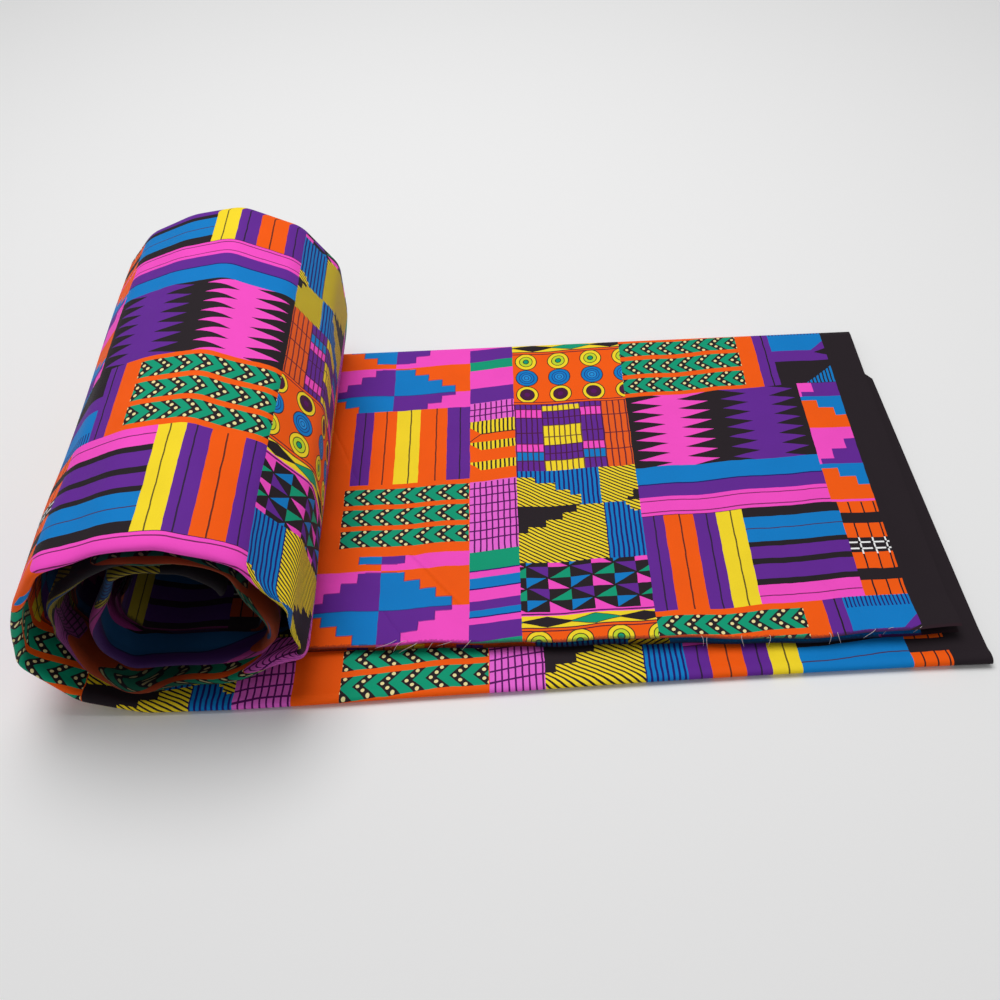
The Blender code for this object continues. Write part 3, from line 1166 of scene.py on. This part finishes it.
def clothMaterial():
    material, shader = newMaterial("kente_printed_cotton")
    tree = material.node_tree
    place = useGroup(tree, makePlace(), Waver=finish["waver"])
    on = {"Across": place["Across"], "Row": place["Row"]}
    colour = useGroup(tree, makePrint(), **on)["Color"]
    weave = useGroup(tree, makeWeave(), Pitch=finish["weavePitch"], **on)
    toned = tree.nodes.new("ShaderNodeMix")
    toned.data_type = "RGBA"
    toned.blend_type = "MULTIPLY"
    grey = tree.nodes.new("ShaderNodeCombineColor")
    for socket in grey.inputs:
        feed(socket, weave["Tone"])
    for index, value in ((0, 1), (6, colour), (7, grey.outputs[0])):
        feed(toned.inputs[index], value)
    cut = tree.nodes.new("ShaderNodeAttribute")
    cut.attribute_name = "cutEdge"
    frayAndGapShade = useGroup(tree, makeFrayAndShade(), Across=place["Across"], Distance=cut.outputs["Fac"])["Amount"]
    # Darken the cut edges: partly frayed threads, partly painted shade of the gap under the lifted raw edges
    colour = blend(times(frayAndGapShade, finish["frayAndShadeShare"]), toned.outputs[2], "frayAndGapShade")
    shade = useGroup(tree, makeShade(), **on)["Amount"]
    colour = blend(times(shade, finish["rollShade"]), colour, "shade")
    feed(shader.inputs["Base Color"], colour)
    for label in ("Roughness", "Sheen Weight", "Sheen Roughness", "Specular IOR Level"):
        feed(shader.inputs[label], finish[label])
    weaveBump = addBump(tree, weave["Height"], finish["weaveBump"])
    creaseBump = addBump(tree, useGroup(tree, makeCreases(), **on)["Height"], finish["creaseBump"])
    feed(weaveBump.inputs["Normal"], creaseBump.outputs[0])
    feed(shader.inputs["Normal"], weaveBump.outputs[0])
    print("print:", len(bpy.data.node_groups), "node groups")
    return material


# Frayed threads at the near raw edges: distance from the right end, y, height, heading, length and bend
frayedThreads = {
    "radius": 0.13,
    "sides": 5,
    "steps": 8,
    "dark": (0.50, 0.40, 0.42, 1),
    "pale": (0.92, 0.84, 0.80, 1),
    "mottleScale": 900,
    "bump": (1, 0.0001),
    "runs": [
        (268, 3.2, 9.3, 196, 11, 1.6), (263, 2.6, 9.0, 214, 8, -1.2), (256, 2.4, 9.2, 205, 12, 1.2),
        (247, 2.0, 9.2, 212, 7, -0.9), (240, 1.8, 9.2, 190, 9, 1.3), (232, 1.4, 9.4, 222, 6, 0.8),
        (123, -0.6, 9.6, 288, 5, 0.9), (119, -1.0, 9.5, 262, 6, -0.7), (103, -1.8, 9.5, 276, 5, -0.8),
        (90, -2.2, 9.8, 255, 5, 0.7), (62, -2.4, 10.2, 262, 5, 0.8), (58, -2.2, 10.0, 280, 5, -0.7),
        (40, -1.6, 10.6, 208, 7, 0.9), (31, -1.4, 10.6, 200, 6, -0.8), (18, -1.0, 11.0, 206, 5, 0.6),
        (266, 2.2, 5.6, 188, 7, -0.8),
    ],
}


def addThreads():
    points, faces = [], []
    sides, steps = frayedThreads["sides"], frayedThreads["steps"]
    for width, y, z, heading, length, bend in frayedThreads["runs"]:
        side = np.array([cos(radians(heading)), sin(radians(heading)), 0])
        cross = np.array([-side[1], side[0], 0])
        share = np.linspace(0, 1, steps)[:, None]
        start = np.array([-width, y + 1.5, z + 0.2])
        drop = np.array([0, 0, 1]) * (0.8 * np.sin(pi * share) - 2.2 * share**2)
        bow = bend * np.sin(pi * share) * (1 - 0.4 * share)
        line = start + side * length * share + cross * bow + drop
        line[:, 2] = np.maximum(line[:, 2], 4.4)
        tangent = np.gradient(line, axis=0)
        tangent /= np.linalg.norm(tangent, axis=1)[:, None]
        first = np.cross(tangent, [0, 0, 1.0])
        first /= np.linalg.norm(first, axis=1)[:, None]
        second = np.cross(tangent, first)
        base = len(points)
        for i in range(steps):
            thin = frayedThreads["radius"] * (1 - 0.5 * (i / (steps - 1)) ** 2)
            for j in range(sides):
                angle = 2 * pi * j / sides
                points.append(line[i] + thin * (cos(angle) * first[i] + sin(angle) * second[i]))
        for i in range(steps - 1):
            for j in range(sides):
                here, over = base + i * sides + j, base + i * sides + (j + 1) % sides
                faces.append((here, over, over + sides, here + sides))
        faces.append(tuple(base + j for j in range(sides))[::-1])
        faces.append(tuple(base + (steps - 1) * sides + j for j in range(sides)))
    place = np.array(points) * 0.001 + np.array(cloth["place"])
    mesh = bpy.data.meshes.new("frayed_threads")
    mesh.from_pydata(place.tolist(), [], faces)
    mesh.polygons.foreach_set("use_smooth", np.ones(len(mesh.polygons), bool))
    mesh.update()
    print("frayed threads:", len(frayedThreads["runs"]))
    return addObject("frayed_threads", mesh)


def threadMaterial():
    material, shader = newMaterial("pale_cotton_thread")
    tree = material.node_tree
    noise = tree.nodes.new("ShaderNodeTexNoise")
    noise.inputs["Scale"].default_value = frayedThreads["mottleScale"]
    colour = blend(noise.outputs[0], frayedThreads["dark"], frayedThreads["pale"])
    feed(shader.inputs["Base Color"], colour)
    shader.inputs["Roughness"].default_value = 0.8
    bump = addBump(tree, noise.outputs[0], frayedThreads["bump"])
    feed(shader.inputs["Normal"], bump.outputs[0])
    return material


addCamera()
addStudio()
print("studio and camera set")
printedCloth = addSheet()
printedCloth.data.materials.append(clothMaterial())
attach(printedCloth, "root")
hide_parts("cloth")
threads = addThreads()
threads.data.materials.append(threadMaterial())
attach(threads, "root")
